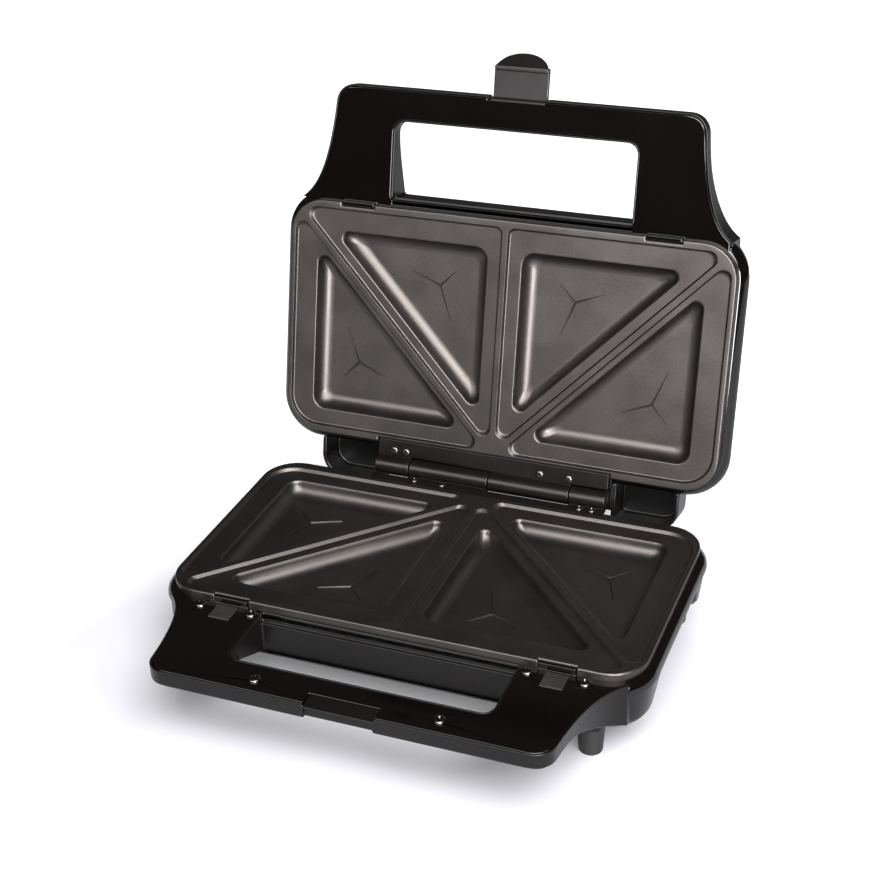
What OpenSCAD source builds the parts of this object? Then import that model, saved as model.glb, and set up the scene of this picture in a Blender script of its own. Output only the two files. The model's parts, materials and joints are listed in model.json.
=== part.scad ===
/* [Cooking plates] */
// Width of each cast plate, for two slices side by side
plate_w = 250; // [236:1:270]
// Depth of each cast plate, handle edge to hinge edge
plate_d = 132.5; // [126:0.5:146]
// Corner radius of the plates
plate_corner_r = 19; // [14:0.5:22]
// Height of the plate's edge above the trim it sits on
plate_skirt_h = 4; // [3:0.25:6]
// Thickness of the cast aluminium under the lands
plate_skin = 2.2; // [1.6:0.1:3]
// Width of the sealing rim along the left and right edges
side_rim = 2.7; // [2:0.1:5]
// Width of the sealing rim along the handle and hinge edges
end_rim = 3.9; // [2.5:0.1:6]
// Drop from the sealing rim to the land round each pocket
land_drop = 1.8; // [1:0.1:2.5]
// Width of the cutting ridges between the triangles
ridge_w = 3; // [2:0.1:5]
// Depth of the pockets below the sealing rim
pocket_depth = 10; // [6:0.5:12]
// Land between a triangle's side edge and its pocket
pocket_side_margin = 12; // [10:0.5:16]
// Land between a triangle's front or rear edge and its pocket
pocket_end_margin = 13.5; // [11.5:0.5:17]
// Land between the middle of the diagonal ridge and a pocket
pocket_ridge_margin = 8.5; // [6:0.5:12]
// Inward slope of the pocket walls, top to floor
pocket_draft = 2.6; // [1:0.2:4]
// Radius between pocket wall and floor
pocket_floor_r = 3; // [1:0.25:4]
// Corner radius of a pocket seen from above
pocket_corner_r = 5.5; // [3:0.25:8]
// Height of the three-bladed star on each pocket floor
star_h = 0.7; // [0.3:0.1:1.2]
// Gap between the two sealing rims with the lid shut
closed_gap = 0.4; // [0.2:0.1:1]

/* [Casings] */
// Width of the glossy band round each plate
rim_band = 4.5; // [4:0.25:8]
// Thickness of the moulded trim frames
trim_t = 2.4; // [2:0.1:3.5]
// Drop of the glossy band from the plate to its outer edge
rim_drop = 6; // [4:0.25:8]
// Wall of the casings
wall = 2.4; // [1.8:0.1:3]
// Depth of the base casing below the mating plane
base_depth = 33; // [31:0.5:40]
// Depth of the lid casing above the mating plane
lid_depth = 31; // [29:0.5:40]
// Inward slope of the casing walls, rim to bottom edge
casing_draft = 3; // [1:0.2:6]
// Radius between casing wall and bottom
casing_edge_r = 5; // [3:0.25:8]
// Step from the trim's outer edge in to the casing's wall
lip_step = 0.8; // [0.4:0.1:1.2]
// Gap between the plate screws and the floor of the base
floor_gap = 0.4; // [0.3:0.1:2]
// Length of the flat top of the arch under the base, between its legs
arch_flat = 64; // [40:1:76]
// Length of each flank of that arch
arch_flank = 14; // [8:1:20]
// Rise of the arch towards the side walls
arch_side_slope = 33; // [10:1:40]

/* [Handles] */
// Half-width of the handles at their front corners
handle_half_w = 102; // [90:0.5:110]
// Reach of the base handle in front of the plate
base_handle_l = 61; // [56:0.5:70]
// Reach of the lid handle in front of the plate
lid_handle_l = 63.4; // [58:0.2:72]
// Corner radius of the handles
handle_corner_r = 10.5; // [6:0.5:16]
// Height of the handle's front edge, trim included
handle_front_h = 8.2; // [7.5:0.1:12]
// Length of the thin front part of the handle
handle_thin_l = 24; // [14:1:30]
// Half-width of the finger window
window_half_w = 67; // [50:0.5:76]
// Near edge of the base window, in front of the plate
base_window_l = 40; // [32:0.5:44]
// Near edge of the lid window, in front of the plate
lid_window_l = 45.7; // [36:0.1:48]
// Corner radius of the finger windows
window_corner_r = 6; // [3:0.5:10]
// Tread of each step along the window's rear wall
step_w = 1.7; // [1:0.1:2.5]
// Width of the satin rim that frames the glossy panel of each handle
panel_rim = 1.1; // [0.8:0.1:1.6]

/* [Hinge] */
// Hinge axis behind the plate's rear edge
hinge_back = 12.9; // [11.5:0.1:16]
// Hinge axis above the base plate's sealing rim
hinge_up = 1.5; // [0:0.1:3]
// Angle between the plates with the lid open
open_angle = 103.5; // [90:0.5:110]
// Diameter of the hinge barrels
barrel_d = 10.8; // [9:0.1:11.5]
// Diameter of the hinge pin
hinge_pin_d = 5; // [3:0.1:6]
// Half-length of the hinge over all knuckles
hinge_half_w = 67; // [55:0.5:72]
// Length of each long barrel, from the middle
long_barrel = 47; // [30:0.5:52]
// Gap between neighbouring barrels
barrel_gap = 0.5; // [0.3:0.1:1]
// Thickness of the hinge leaves
leaf_t = 3; // [2:0.1:3.4]
// Radial clearance of a pin in its bore
pin_fit = 0.05; // [0.02:0.01:0.1]

/* [Latch] */
// Width of the latch clip
clip_w = 30; // [20:0.5:44]
// Thickness of the latch clip
clip_t = 2; // [1.6:0.1:2.6]
// Distance from the latch pin to the hook
clip_hook_l = 17.6; // [17:0.1:18.6]
// Length of the thumb tab beyond the hook
tab_l = 8.8; // [6:0.2:16]
// Outward bend of the thumb tab
tab_bend = 40; // [10:1:60]
// Diameter of the latch pin
latch_pin_d = 2.4; // [1.6:0.1:3]
// Diameter of the clip's barrel
clip_barrel_d = 5.2; // [4.4:0.1:5.6]

/* [Feet and fasteners] */
// Height of the sealing rim above the table
rim_height = 49.5; // [44:0.5:60]
// Diameter of a foot where it meets the table
foot_d = 11.6; // [8:0.2:16]
// Widening of a foot towards the casing
foot_flare = 2.4; // [0:0.2:5]
// Head diameter of the visible screws
screw_head_d = 6.3; // [4.5:0.1:8]
// Shank diameter of the screws
screw_d = 2.8; // [2:0.1:3.4]
// Side of the square buffer pads
pad_side = 11.3; // [8:0.1:14]
// Inner diameter of the mains lead inlet
inlet_bore_d = 7.2; // [5:0.1:8.5]

/* [Heating] */
// Diameter of the tubular heating elements
element_d = 5; // [4:0.1:5]
// Thickness of the heat shields
shield_t = 0.8; // [0.5:0.1:1]
// Depth of the heat shields below the sealing rim
shield_depth = 15; // [14.8:0.1:15.4]

/* [Hidden] */
$fn = 48;
eps = 0.01;
// Clearance between mouldings that seat in one another
seat = 0.2;
// Corner radius at the rear of the finger windows
window_rear_r = 1.4;
// Clearance round a screw shank in its boss
thread_fit = 0.05;
boss_wall = 1.9;
flange_lap = 4;
plate_front = -plate_d / 2;
plate_rear = plate_d / 2;
cell_x0 = ridge_w / 2;
cell_x1 = plate_w / 2 - side_rim;
cell_y0 = plate_front + end_rim;
cell_y1 = plate_rear - end_rim;
tip_r = 4.5;
handle_land_r = 4;
hinge_land_r = 16.5;
web_z = land_drop + plate_skin;
shell_z = pocket_depth + plate_skin;
rim_w = plate_w + 2 * rim_band;
rim_d = plate_d + 2 * rim_band;
rim_corner_r = plate_corner_r + rim_band;
trim_z = plate_skirt_h;
trim_under_z = trim_z + trim_t;
rim_edge_z = trim_z + rim_drop;
hinge_y = plate_rear + hinge_back;
barrel_r = barrel_d / 2;
barrel_clear_r = barrel_r + 0.6;
shelf_half_w = hinge_half_w + 1;
shelf_y = hinge_y - barrel_clear_r;
// Flare of the handle into the casing, as the control points of its curve
flare_y = plate_front - 0.6;
flare_x = handle_half_w + 18;
pilot_r = screw_d / 2 + thread_fit;
boss_r = screw_d / 2 + boss_wall;
head_r = screw_head_d / 2;
head_h = 1.5;
boss_screw_l = 5;
leaf_head_r = 2.3;
leaf_head_h = 1.2;
leaf_screw_l = 11;
hinge_cutback = 2.3;
heel_x0 = hinge_half_w + 0.8;
heel_x1 = heel_x0 + 37;
heel_y = hinge_y + 14;
// Lid's ledge that covers the barrels from behind
barrel_cover_z = barrel_r + hinge_up - closed_gap + 0.6;
heel_z = trim_z + 4;
heel_end_z = lid_depth - 4;
shelf_h = 9;
heel_r = 12;
foot_seat_z = base_depth + 0.8;
plate_screw_r = 2.6;
plate_screw_h = 1.6;
// Outer face of the raised floor between the legs
arch_top_z = shield_depth + shield_t + plate_screw_h + floor_gap + wall;
arch_side_x = plate_w / 2 - flange_lap - 2;
foot_top_r = foot_d / 2 + foot_flare / 2;
handle_screw_y = plate_front - 4.6;
front_screw_x = 46.6;
front_screw_y = plate_front - 51.6;
outer_screw_x = 100.5;
inner_screw_x = 72.3;
pad_x = (outer_screw_x + inner_screw_x) / 2;
pad_y = plate_front - 7.3;
pad_h = 2;
notch_x0 = 76;
notch_x1 = 95;
notch_depth = 2;
// Latch pin, measured in the lid with the lid shut
latch_inset = 3.2;
latch_y = plate_front - lid_handle_l + latch_inset;
latch_z = trim_under_z + clip_barrel_d / 2 + seat;
clip_inner = 1.3;
hook_t = 2.3;
hook_h = 1.3;
// Depth of the thumb tab's round end behind the bend
tab_lap = 3.2;
// Top of the catch groove in the base handle's front wall
latch_catch_z = clip_hook_l - hook_t / 2 - latch_z - closed_gap - 0.25;
recess_half_w = clip_w / 2 + 0.8;
lug_w = 4;
catch_half_w = clip_w / 2 + 3;
catch_l = 8.5;
catch_z = trim_z + 0.6;
catch_slope = 8.5;
catch_fall = catch_l * tan(catch_slope);
base_front_y = plate_front - base_handle_l;
// Mains lead inlet in the rear wall of the base
inlet_x = 10;
inlet_z = 22.5;
inlet_r = inlet_bore_d / 2 + 1.6;
inlet_seat = 0.6;
element_inset = 9;
element_end_y = plate_rear - element_inset;
terminal_z = 25;
terminal_x = 29;
terminal_y = plate_rear - 13.25;
element_z = web_z + element_d / 2 + thread_fit;
element_gap = 12;
element_bend_r = 10;
element_turn_r = 6;
support_x = 70;
support_l = 8;
support_w = 4;
lamp_x = 11;
lamp_y = 34;
lamp_r = 4;
lens_flange = 0.9;
foot_x = handle_half_w - 1;
front_foot_y = plate_front + 5;
rear_foot_x = plate_w / 2 - 12.5;
rear_foot_y = plate_rear - 11.5;
// Middle of the whole length with the lid open, which stands over the origin
middle_y = 10.84;
steel = "silver";
satin_black = [0.16, 0.15, 0.15];
gloss_black = [0.05, 0.04, 0.04];
coated = [0.25, 0.24, 0.23];
plate_boss_places = [[0, -41], [0, 41], [-plate_w / 4, 0], [plate_w / 4, 0]];
base_screw_places = [for (s = [-1, 1]) each [[s * outer_screw_x, handle_screw_y],
    [s * inner_screw_x, handle_screw_y], [s * front_screw_x, front_screw_y]]];
long_screw_x = [25.4, 41.8];
short_screw_x = [53.9, 60.9];
lower_leaf_screw_y = hinge_y - barrel_r - 2.7;
upper_leaf_screw_y = plate_rear + 4;

// ---- Geometry helpers ----
function unit(v) = v / norm(v);
// Points of the arc that rounds the corner at b, coming from a and leaving to c
function corner_arc(a, b, c, r, n) =
    let (u = unit(a - b), w = unit(c - b), half = acos(u * w) / 2,
        centre = b + unit(u + w) * (r / sin(half)),
        p = b + u * (r / tan(half)) - centre, q = b + w * (r / tan(half)) - centre,
        start = atan2(p.y, p.x), turn = atan2(q.y, q.x) - start,
        sweep = turn > 180 ? turn - 360 : turn < -180 ? turn + 360 : turn)
    [for (i = [0:n]) centre + r * [cos(start + sweep * i / n), sin(start + sweep * i / n)]];
// Outline with every corner rounded by its own radius
function rounded(pts, radii, n = 6) =
    [for (i = [0:len(pts) - 1]) each corner_arc(pts[(i + len(pts) - 1) % len(pts)], pts[i],
        pts[(i + 1) % len(pts)], radii[i], n)];
function bezier(a, b, c, d, n) =
    [for (i = [0:n]) let (t = i / n, s = 1 - t)
        a * s * s * s + b * 3 * s * s * t + c * 3 * s * t * t + d * t * t * t];
function flip_x(pts) = [for (i = [len(pts) - 1:-1:0]) [-pts[i].x, pts[i].y]];
// Right-angled triangle with its corner at c and legs lx and ly, moved in by a margin at each edge
function inset_triangle(c, lx, ly, mx, my, mh) =
    let (k = 1 - mh * sqrt(1 / (lx * lx) + 1 / (ly * ly)))
    [c + [sign(lx) * mx, sign(ly) * my],
        [c.x + lx * (k - my / abs(ly)), c.y + sign(ly) * my],
        [c.x + sign(lx) * mx, c.y + ly * (k - mx / abs(lx))]];
// The two triangles of the right-hand sandwich: 0 on the handle side, 1 on the hinge side
function triangle(side, mx, my, mh) = side == 0
    ? inset_triangle([cell_x0, cell_y0], cell_x1 - cell_x0, cell_y1 - cell_y0, mx, my, mh)
    : inset_triangle([cell_x1, cell_y1], cell_x0 - cell_x1, cell_y0 - cell_y1, mx, my, mh);
function land(side) = rounded(triangle(side, 0, 0, ridge_w / 2),
    [side == 0 ? handle_land_r : hinge_land_r, tip_r, tip_r]);
function pocket(side, inset) = rounded(triangle(side, pocket_side_margin + inset,
    pocket_end_margin + inset, pocket_ridge_margin + inset),
    [for (i = [0:2]) max(pocket_corner_r - inset * 0.4, 0.8)], 5);

module rounded_rect(w, d, r) {
    square([w - 2 * r, d], center = true);
    square([w, d - 2 * r], center = true);
    for (x = [-1, 1], y = [-1, 1]) translate([x * (w / 2 - r), y * (d / 2 - r)]) circle(r = r);
}
module slab(z, h) {
    translate([0, 0, z]) linear_extrude(height = h) children();
}
module both_sides() {
    children();
    mirror([1, 0, 0]) children();
}

// ---- Placing: each half is drawn from its sealing rim outwards along +Z ----
module in_base() {
    translate([0, -middle_y, rim_height]) mirror([0, 0, 1]) children();
}
module in_lid() {
    translate([0, hinge_y - middle_y, rim_height + hinge_up]) rotate([-open_angle, 0, 0])
        translate([0, -hinge_y, closed_gap - hinge_up]) children();
}

// ---- Cooking plates ----
module star() {
    blades = [[-9.5, -9.7], [16.2, -6.5], [-7.4, 19.2]];
    for (b = blades) let (side = unit([-b.y, b.x]) * 0.75)
        polygon([-unit(b) * 0.8, side, b, -side]);
}
module cast_plate() {
    color(coated) difference() {
        union() {
            slab(0, max(web_z, plate_skirt_h)) rounded_rect(plate_w, plate_d, plate_corner_r);
            both_sides() for (side = [0, 1])
                slab(web_z - eps, shell_z - web_z + eps) polygon(pocket(side, -plate_skin));
            for (p = plate_boss_places)
                translate([p.x, p.y, web_z - eps]) cylinder(r = boss_r, h = shield_depth - web_z + eps);
        }
        both_sides() for (side = [0, 1]) {
            slab(-1, 1 + land_drop) polygon(land(side));
            hull() {
                slab(land_drop - eps, eps) polygon(pocket(side, 0));
                slab(pocket_depth - pocket_floor_r, eps) polygon(pocket(side, pocket_draft));
                slab(pocket_depth - pocket_floor_r * 0.3, eps)
                    polygon(pocket(side, pocket_draft + pocket_floor_r * 0.3));
                slab(pocket_depth - eps, eps) polygon(pocket(side, pocket_draft + pocket_floor_r));
            }
        }
        both_sides() translate([notch_x0, plate_front - 1, -1])
            cube([notch_x1 - notch_x0, 1 + notch_depth, 2 + plate_skirt_h]);
        for (p = plate_boss_places)
            translate([p.x, p.y, web_z + 1]) cylinder(r = pilot_r, h = shield_depth);
    }
    color(coated) both_sides() {
        slab(pocket_depth - star_h, star_h) translate([38.6, plate_front + 41.3]) star();
        slab(pocket_depth - star_h, star_h) translate([84.8, plate_front + 91]) rotate(180) star();
    }
}
module lower_plate() { in_base() cast_plate(); }
module upper_plate() {
    in_lid() difference() {
        cast_plate();
        translate([-hinge_half_w - 0.4, plate_rear - hinge_cutback, -1])
            cube([2 * hinge_half_w + 0.8, 5, web_z + 2]);
    }
}

// ---- Outlines of the mouldings ----
module rim_outline(inset = 0) {
    rounded_rect(rim_w - 2 * inset, rim_d - 2 * inset, rim_corner_r - inset);
}
// Outline of a handle that reaches l in front of the plate, flaring into the rim
module handle_outline(l, inset = 0) {
    front = plate_front - l + inset;
    half_w = handle_half_w - inset;
    corner = corner_arc([0, front], [half_w, front], [half_w + 0.4, flare_y], handle_corner_r - inset, 8);
    side = bezier([half_w, front + handle_corner_r - inset], [half_w + 3.2, flare_y - 22.4],
        [flare_x - 9.7 - inset, flare_y - 7.1], [flare_x - inset, flare_y], 14);
    right = concat(corner, [for (i = [1:14]) side[i]], [[flare_x - inset, plate_front + 12]]);
    polygon(concat(flip_x(right), right));
}
module window_outline(l, grow = 0) {
    rear = plate_front - 1.2 - 2 * step_w + grow;
    front = plate_front - l - grow;
    w = window_half_w + grow;
    polygon(rounded([[w, front], [w, rear], [-w, rear], [-w, front]],
        [window_corner_r + grow, window_rear_r + grow, window_rear_r + grow, window_corner_r + grow]));
}
// Glossy panel of a handle, with its window hole
module panel_outline(l, window_l, inset) {
    difference() {
        handle_outline(l, inset);
        window_outline(window_l, inset);
    }
}
// Window mouth, which widens in two steps towards the plate
module window_cut(l) {
    slab(-1, lid_depth + base_depth) window_outline(l);
    for (i = [1, 2])
        slab(-1, 1 + trim_under_z + step_w * (2 - i))
            translate([-window_half_w, plate_front - 1.2 - step_w * (2 - i) - 10])
                square([2 * window_half_w, 10]);
}

// ---- Trim frames ----
module trim_frame(l, window_l) {
    color(gloss_black) difference() {
        union() {
            slab(trim_z, trim_t) panel_outline(l, window_l, panel_rim + seat);
            difference() {
                hull() {
                    slab(trim_z, eps) rim_outline(rim_band - 0.8);
                    slab(trim_z + 1.6, eps) rim_outline(1.6);
                    slab(trim_z + 3.6, eps) rim_outline(0.3);
                    slab(rim_edge_z - eps, eps) rim_outline(0);
                }
                hull() {
                    slab(trim_under_z, eps) rim_outline(rim_band - 0.8 + trim_t * 0.4);
                    slab(trim_z + 1.6 + trim_t, eps) rim_outline(1.6 + trim_t * 0.8);
                    slab(rim_edge_z + eps, eps) rim_outline(trim_t);
                }
                slab(trim_under_z, rim_drop) {
                    handle_outline(l);
                    translate([-shelf_half_w, 0]) square([2 * shelf_half_w, rim_d]);
                }
            }
            slab(trim_z, trim_t) translate([-shelf_half_w, plate_rear - 2])
                square([2 * shelf_half_w, shelf_y - plate_rear + 2]);
        }
        slab(0, rim_edge_z + 1) rounded_rect(plate_w - 2 * flange_lap, plate_d - 2 * flange_lap,
            plate_corner_r - flange_lap);
        window_cut(window_l);
        children();
    }
    color(gloss_black) both_sides()
        translate([notch_x0 + seat, plate_front - 0.6, 0.6])
            cube([notch_x1 - notch_x0 - 2 * seat, notch_depth + 0.6 - seat, trim_z - 0.6 + eps]);
}
module lower_trim_frame() {
    in_base() trim_frame(base_handle_l, base_window_l) {
        for (p = base_screw_places) translate([p.x, p.y, 0]) cylinder(r = pilot_r + 0.3, h = rim_edge_z + 1);
        for (x = long_screw_x) translate([-x, lower_leaf_screw_y, 0])
            cylinder(r = pilot_r, h = rim_edge_z + 1);
        for (x = short_screw_x) translate([x, lower_leaf_screw_y, 0])
            cylinder(r = pilot_r, h = rim_edge_z + 1);
        both_sides() translate([pad_x, pad_y, trim_z + pad_h / 2])
            cube([pad_side + seat, pad_side + seat, pad_h + eps], center = true);
        translate([-catch_half_w, plate_front - base_handle_l - 1, 0])
            cube([2 * catch_half_w, catch_l + 1, rim_edge_z + 1]);
    }
}
module upper_trim_frame() {
    in_lid() trim_frame(lid_handle_l, lid_window_l) {
        for (x = long_screw_x) translate([x + 3, upper_leaf_screw_y, 0])
            cylinder(r = pilot_r, h = rim_edge_z + 1);
        for (x = short_screw_x) translate([-x + 3.5, upper_leaf_screw_y, 0])
            cylinder(r = pilot_r, h = rim_edge_z + 1);
        translate([-recess_half_w, plate_front - lid_handle_l - 1, 0])
            cube([2 * recess_half_w, 3.4, rim_edge_z + 1]);
    }
}

// ---- Casings ----
// Bowl of a casing, drafted and rounded towards the bottom; inset draws its inside
module bowl(depth, inset) {
    r = casing_edge_r;
    hull() {
        slab(rim_edge_z, eps) rim_outline(lip_step + inset);
        slab(depth - r - inset, eps) rim_outline(lip_step + casing_draft * 0.85 + inset);
        slab(depth - r * 0.35 - inset, eps) rim_outline(lip_step + casing_draft + r * 0.3 + inset);
        slab(depth - eps - inset, eps) rim_outline(lip_step + casing_draft + r + inset);
    }
}
// Side view of a handle: thin in front, thickening towards the bowl
module handle_profile(l, depth, inset) {
    front = plate_front - l - 1;
    thin = plate_front - l + handle_thin_l;
    under = trim_z + handle_front_h - inset;
    rotate([90, 0, 90]) linear_extrude(height = 3 * plate_w, center = true)
        polygon(concat([[front, inset > 0 ? trim_under_z - 1 : trim_z], [front, under]],
            bezier([thin, under], [thin + 9, under], [plate_front - 16, depth - 12 - inset],
                [plate_front + 14, depth - inset], 10),
            [[plate_front + 14, inset > 0 ? trim_under_z - 1 : trim_z]]));
}
module handle_body(l, depth, inset) {
    intersection() {
        slab(inset > 0 ? trim_under_z - 1 : trim_z, depth) handle_outline(l, inset);
        handle_profile(l, depth, inset);
    }
}
// Space under the base between its legs, rising towards the side walls
module arch(inset) {
    rise = tan(arch_side_slope);
    side_x = arch_side_x - 0.3 * inset;
    arch_prism(inset, 3 * plate_w);
    both_sides() multmatrix([[1, 0, 0, side_x], [0, 1, 0, 0], [-rise, 0, 1, 0]])
        translate([plate_w / 4, 0, 0]) arch_prism(inset, plate_w / 2);
}
module arch_prism(inset, w) {
    half = arch_flat / 2 + arch_flank;
    top = arch_top_z - inset;
    floor_z = base_depth + eps - inset;
    rotate([90, 0, 90]) linear_extrude(height = w, center = true)
        polygon(concat([[-half, base_depth + plate_w]],
            bezier([-half, floor_z], [-half + arch_flank / 2, floor_z],
                [-arch_flat / 2 - arch_flank / 2, top], [-arch_flat / 2, top], 8),
            bezier([arch_flat / 2, top], [arch_flat / 2 + arch_flank / 2, top],
                [half - arch_flank / 2, floor_z], [half, floor_z], 8),
            [[half, base_depth + plate_w]]));
}
// Screw boss from the bottom of a casing up to what the screw holds
module boss(p, z0, z1, r = boss_r) {
    translate([p.x, p.y, z0]) cylinder(r = r, h = z1 - z0);
}
module casing(l, window_l, depth) {
    difference() {
        union() {
            bowl(depth, 0);
            handle_body(l, depth, 0);
            slab(trim_under_z, shelf_h) translate([-shelf_half_w, plate_rear - 8])
                square([2 * shelf_half_w, shelf_y - plate_rear + 8]);
        }
        difference() {
            union() {
                bowl(depth, wall);
                slab(trim_z, rim_edge_z - trim_z + 1) rim_outline(wall + seat);
                handle_body(l, depth, wall);
            }
            slab(trim_z, depth) window_outline(window_l, wall);
            slab(trim_under_z, shelf_h) translate([-shelf_half_w, plate_rear - 1])
                square([2 * shelf_half_w, shelf_y - plate_rear + 1]);
            children(0);
        }
        slab(trim_z - 1, trim_t + 1) {
            panel_outline(l, window_l, panel_rim);
            rim_outline();
        }
        window_cut(window_l);
        children(1);
    }
}
module catch_block() {
    translate([-catch_half_w - wall, base_front_y, trim_z])
        cube([2 * (catch_half_w + wall), catch_l + wall, handle_front_h]);
}
// Block of height h under the sloping catch, or above it where h is negative
module catch_ramp(h) {
    translate([-catch_half_w, base_front_y - 1, catch_z + catch_fall]) rotate([-catch_slope, 0, 0])
        translate([0, 0, min(h, 0)]) cube([2 * catch_half_w, catch_l + 1, abs(h)]);
}
// Flat seat for the inlet bush in the sloping rear wall
module inlet_boss() {
    translate([inlet_x, plate_rear - inlet_seat, inlet_z]) rotate([-90, 0, 0])
        cylinder(r = inlet_r + 2.4, h = 4.8);
}
module lower_casing() {
    color(satin_black) in_base() difference() {
        union() {
            casing(base_handle_l, base_window_l, base_depth) {
                union() {
                    arch(wall);
                    for (p = base_screw_places) boss(p, trim_under_z, base_depth);
                    for (p = plate_boss_places) boss(p, shield_depth + 3, base_depth);
                    catch_block();
                }
                union() {
                    catch_ramp(-trim_t - 2);
                    for (p = base_screw_places) boss(p, 0, trim_under_z + boss_screw_l + 2 * seat, pilot_r);
                    for (x = long_screw_x) boss([-x, lower_leaf_screw_y], 0, leaf_screw_l + 2, pilot_r);
                    for (x = short_screw_x) boss([x, lower_leaf_screw_y], 0, leaf_screw_l + 2, pilot_r);
                }
            }
            difference() {
                for (x = [-1, 1], f = [[foot_x, front_foot_y], [rear_foot_x, rear_foot_y]])
                    boss([x * f.x, f.y], base_depth - casing_edge_r - 3, foot_seat_z, foot_top_r + 0.8);
                bowl(base_depth, wall);
            }
            inlet_boss();
            intersection() {
                handle_body(base_handle_l, base_depth, 0);
                catch_ramp(4);
                translate([-catch_half_w + seat, base_front_y - 1, 0])
                    cube([2 * (catch_half_w - seat), catch_l + 1 - seat, base_depth]);
            }
        }
        arch(0);
        translate([inlet_x, plate_rear, inlet_z]) rotate([90, 0, 0])
            cylinder(r = inlet_r + 0.1, h = 30, center = true);
        translate([inlet_x, plate_rear - inlet_seat, inlet_z]) rotate([90, 0, 0])
            cylinder(r = inlet_r + 1.4, h = 10);
        translate([-catch_half_w + 0.8, base_front_y - 1, latch_catch_z])
            cube([2 * catch_half_w - 1.6, 1 + hook_h + 0.4, base_depth]);
    }
}
module heel(inset) {
    difference() {
        heel_block(inset);
        slab(0, rim_edge_z) rim_outline(0);
    }
}
module heel_block(inset) {
    slab(heel_z - (inset > 0 ? 1 : 0), heel_end_z - heel_z - inset + (inset > 0 ? 1 : 0))
        polygon(rounded([[heel_x0 + inset, plate_rear - 12], [heel_x1 - inset, plate_rear - 12],
            [heel_x1 - inset, heel_y - inset], [heel_x0 + inset, heel_y - inset]],
            [1, 1, heel_r - inset, 3], 8));
}
module upper_casing() {
    color(satin_black) in_lid() difference() {
        union() {
            casing(lid_handle_l, lid_window_l, lid_depth) {
                union() {
                    for (x = [-1, 1]) translate([x * (recess_half_w + lug_w / 2), latch_y, latch_z])
                        cube([lug_w, clip_barrel_d + 2, 2 * clip_barrel_d], center = true);
                    translate([-recess_half_w - lug_w, latch_y + clip_barrel_d / 2 + 0.5, trim_under_z])
                        cube([2 * (recess_half_w + lug_w), wall, handle_front_h]);
                    for (p = plate_boss_places) boss(p, shield_depth + 3, lid_depth);
                }
                union() {
                    for (x = long_screw_x) boss([x + 3, upper_leaf_screw_y], 0, leaf_screw_l + 2, pilot_r);
                    for (x = short_screw_x)
                        boss([-x + 3.5, upper_leaf_screw_y], 0, leaf_screw_l + 2, pilot_r);
                    both_sides() translate([lamp_x, lamp_y, lid_depth])
                        cylinder(r = lamp_r + 0.1, h = 20, center = true);
                    translate([-recess_half_w, latch_y - 10, 0])
                        cube([2 * recess_half_w, 10 + clip_barrel_d / 2 + 0.5, lid_depth]);
                    translate([0, latch_y, latch_z]) rotate([0, 90, 0])
                        cylinder(r = latch_pin_d / 2 + 0.03, h = 2 * (recess_half_w + lug_w - 0.8),
                            center = true);
                }
            }
            both_sides() heel(0);
            slab(barrel_cover_z, wall) translate([-heel_x0 - 0.1, shelf_y - 1])
                square([2 * heel_x0 + 0.2, heel_y - 6 - shelf_y]);
        }
        both_sides() heel_block(wall);
        intersection() {
            bowl(lid_depth, wall);
            both_sides() slab(trim_z, lid_depth)
                translate([heel_x0 - 1.5, plate_rear - 12]) square([heel_x1 - heel_x0 + 3, 20]);
        }
    }
}

// ---- Heat shields: pans that clamp the plate and the trim together ----
module heat_shield() {
    w = plate_w - 2 * flange_lap - 2;
    d = plate_d - 2 * flange_lap - 2;
    r = plate_corner_r - flange_lap - 1;
    color(steel) difference() {
        union() {
            slab(trim_under_z, shield_depth + shield_t - trim_under_z) rounded_rect(w, d, r);
            slab(trim_under_z, shield_t) rounded_rect(w + 5, d + 5, r + 2.5);
        }
        slab(0, shield_depth) rounded_rect(w - 2 * shield_t, d - 2 * shield_t, r - shield_t);
        for (p = plate_boss_places) boss(p, 0, 40, pilot_r + 0.2);
        for (x = [-1, 1]) boss([x * element_gap / 2, element_end_y], 0, 40, element_d / 2 + 0.6);
    }
}
module lower_heat_shield() { in_base() heat_shield(); }
module upper_heat_shield() { in_lid() heat_shield(); }

// ---- Heating elements: a tube bent to a loop, its ends turned down to the terminals ----
module heating_element() {
    r = element_d / 2;
    bend = element_bend_r;
    hx = plate_w / 2 - element_inset;
    hy = plate_d / 2 - element_inset;
    down = element_turn_r;
    color("dimgray") translate([0, 0, element_z]) {
        translate([0, -hy, 0]) rotate([0, 90, 0]) cylinder(r = r, h = 2 * (hx - bend), center = true);
        both_sides() {
            translate([hx, 0, 0]) rotate([90, 0, 0]) cylinder(r = r, h = 2 * (hy - bend), center = true);
            translate([hx - bend, -hy + bend, 0]) rotate([0, 0, -90])
                rotate_extrude(angle = 90) translate([bend, 0]) circle(r = r);
            translate([hx - bend, hy - bend, 0])
                rotate_extrude(angle = 90) translate([bend, 0]) circle(r = r);
            translate([element_gap / 2 + down, hy, 0]) rotate([0, 90, 0])
                cylinder(r = r, h = hx - bend - element_gap / 2 - down);
            translate([element_gap / 2 + down, hy, down]) rotate([90, 0, 0]) rotate([0, 0, 180])
                rotate_extrude(angle = 90) translate([down, 0]) circle(r = r);
            translate([element_gap / 2, hy, down]) cylinder(r = r, h = terminal_z - element_z - down);
        }
    }
}
module lower_heating_element() { in_base() heating_element(); }
module upper_heating_element() { in_lid() heating_element(); }
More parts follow.
